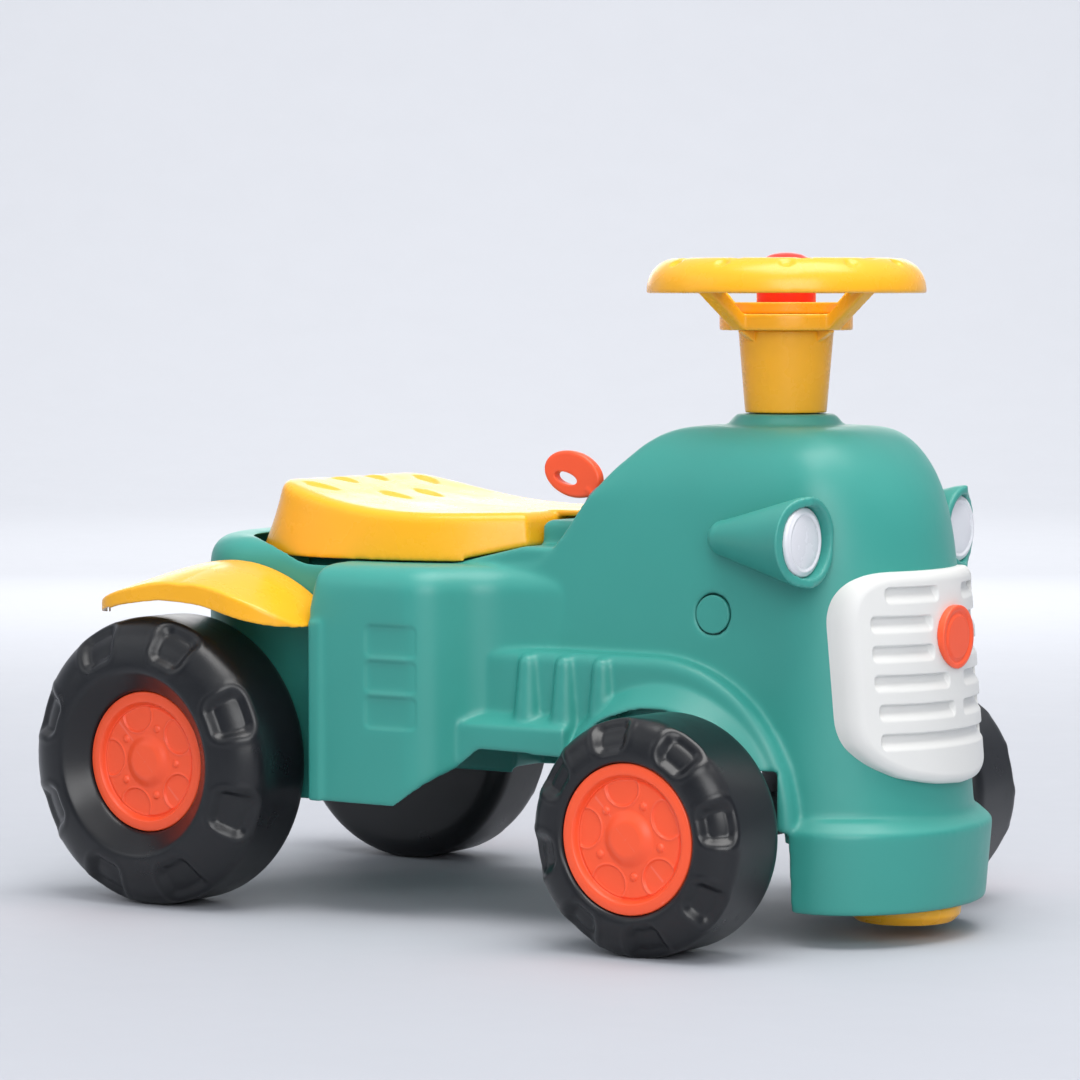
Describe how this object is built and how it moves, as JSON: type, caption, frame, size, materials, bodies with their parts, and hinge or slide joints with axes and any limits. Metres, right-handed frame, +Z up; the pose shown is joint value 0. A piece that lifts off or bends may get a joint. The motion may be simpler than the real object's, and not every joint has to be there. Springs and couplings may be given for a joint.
{
  "type": "ride on tractor toy",
  "caption": "Child's ride-on tractor with steered front wheels, large rear wheels under mudguards, lift-up saddle seat over a bin, sprung horn and turning key.",
  "frame": {"origin": "floor level, midway along the length and on the centre plane", "axes": "+X towards the front, +Y to the rider's left, +Z up"},
  "size_m": [0.59, 0.36, 0.4099],
  "materials": {
    "shell_green": "satin moulded polyethylene, teal green",
    "trim_yellow": "semi-gloss moulded plastic, warm yellow",
    "hub_orange": "semi-gloss moulded plastic, orange red",
    "horn_red": "gloss moulded plastic, red",
    "grille_grey": "satin moulded plastic, pale grey",
    "lens_white": "gloss moulded plastic, white",
    "tyre_black": "satin blow-moulded plastic, black",
    "bush_grey": "plain moulded plastic, grey",
    "axle_steel": "drawn steel rod and pressed steel"
  },
  "bodies": {
    "chassis": {"body_shell": "shell_green", "fender_left": "trim_yellow", "fender_right": "trim_yellow", "grille": "grille_grey", "grille_badge": "hub_orange", "headlight_housing_left": "shell_green", "headlight_housing_right": "shell_green", "headlight_lens_left": "lens_white", "headlight_lens_right": "lens_white", "side_plug_left": "shell_green", "side_plug_right": "shell_green", "front_skid_foot": "trim_yellow", "storage_bin": "shell_green", "rear_axle": "axle_steel", "rear_axle_bushes": "bush_grey", "push_nuts_rear": "axle_steel", "steering_bridge": "bush_grey", "bridge_screws": "axle_steel", "steering_bridge_bush": "bush_grey", "column_bush": "bush_grey", "seat_hinge_pin": "axle_steel", "key_collar": "bush_grey"},
    "steering": {"steering_wheel": "trim_yellow", "steering_column": "trim_yellow", "steering_shaft": "axle_steel", "steering_yoke": "bush_grey", "front_axle": "axle_steel", "push_nuts_front": "axle_steel", "horn_dish": "trim_yellow", "horn_spring": "axle_steel"},
    "horn": {"horn_button": "horn_red"},
    "seat": {"seat_lid": "trim_yellow"},
    "key": {"ignition_key": "hub_orange"},
    "wheel_front_left": {"tyre_front_left": "tyre_black", "hub_cap_front_left": "hub_orange", "wheel_bush_front_left": "bush_grey"},
    "wheel_front_right": {"tyre_front_right": "tyre_black", "hub_cap_front_right": "hub_orange", "wheel_bush_front_right": "bush_grey"},
    "wheel_rear_left": {"tyre_rear_left": "tyre_black", "hub_cap_rear_left": "hub_orange", "wheel_bush_rear_left": "bush_grey"},
    "wheel_rear_right": {"tyre_rear_right": "tyre_black", "hub_cap_rear_right": "hub_orange", "wheel_bush_rear_right": "bush_grey"}
  },
  "joints": [
    {"name": "steering_turn", "type": "hinge", "parent": "chassis", "child": "steering", "pos_m": [0.167, 0, 0.07], "axis": [0, 0, 1], "range_deg": [-15, 15]},
    {"name": "horn_press", "type": "slide", "parent": "steering", "child": "horn", "axis": [0, 0, -1], "range_m": [0, 0.004], "stiffness_N_per_m": 400, "deforming": ["horn_spring"]},
    {"name": "seat_lift", "type": "hinge", "parent": "chassis", "child": "seat", "pos_m": [0.034, 0, 0.25], "axis": [0, 1, 0], "range_deg": [0, 55]},
    {"name": "key_turn", "type": "hinge", "parent": "chassis", "child": "key", "pos_m": [0.068, -0.05, 0.2567], "axis": [-0.7941, 0, 0.6078], "range_deg": [-45, 45]},
    {"name": "wheel_front_left_spin", "type": "hinge", "parent": "steering", "child": "wheel_front_left", "pos_m": [0.167, 0.145, 0.07], "axis": [0, 1, 0], "continuous": true},
    {"name": "wheel_front_right_spin", "type": "hinge", "parent": "steering", "child": "wheel_front_right", "pos_m": [0.167, -0.145, 0.07], "axis": [0, 1, 0], "continuous": true},
    {"name": "wheel_rear_left_spin", "type": "hinge", "parent": "chassis", "child": "wheel_rear_left", "pos_m": [-0.204, 0.14, 0.091], "axis": [0, 1, 0], "continuous": true},
    {"name": "wheel_rear_right_spin", "type": "hinge", "parent": "chassis", "child": "wheel_rear_right", "pos_m": [-0.204, -0.14, 0.091], "axis": [0, 1, 0], "continuous": true}
  ]
}
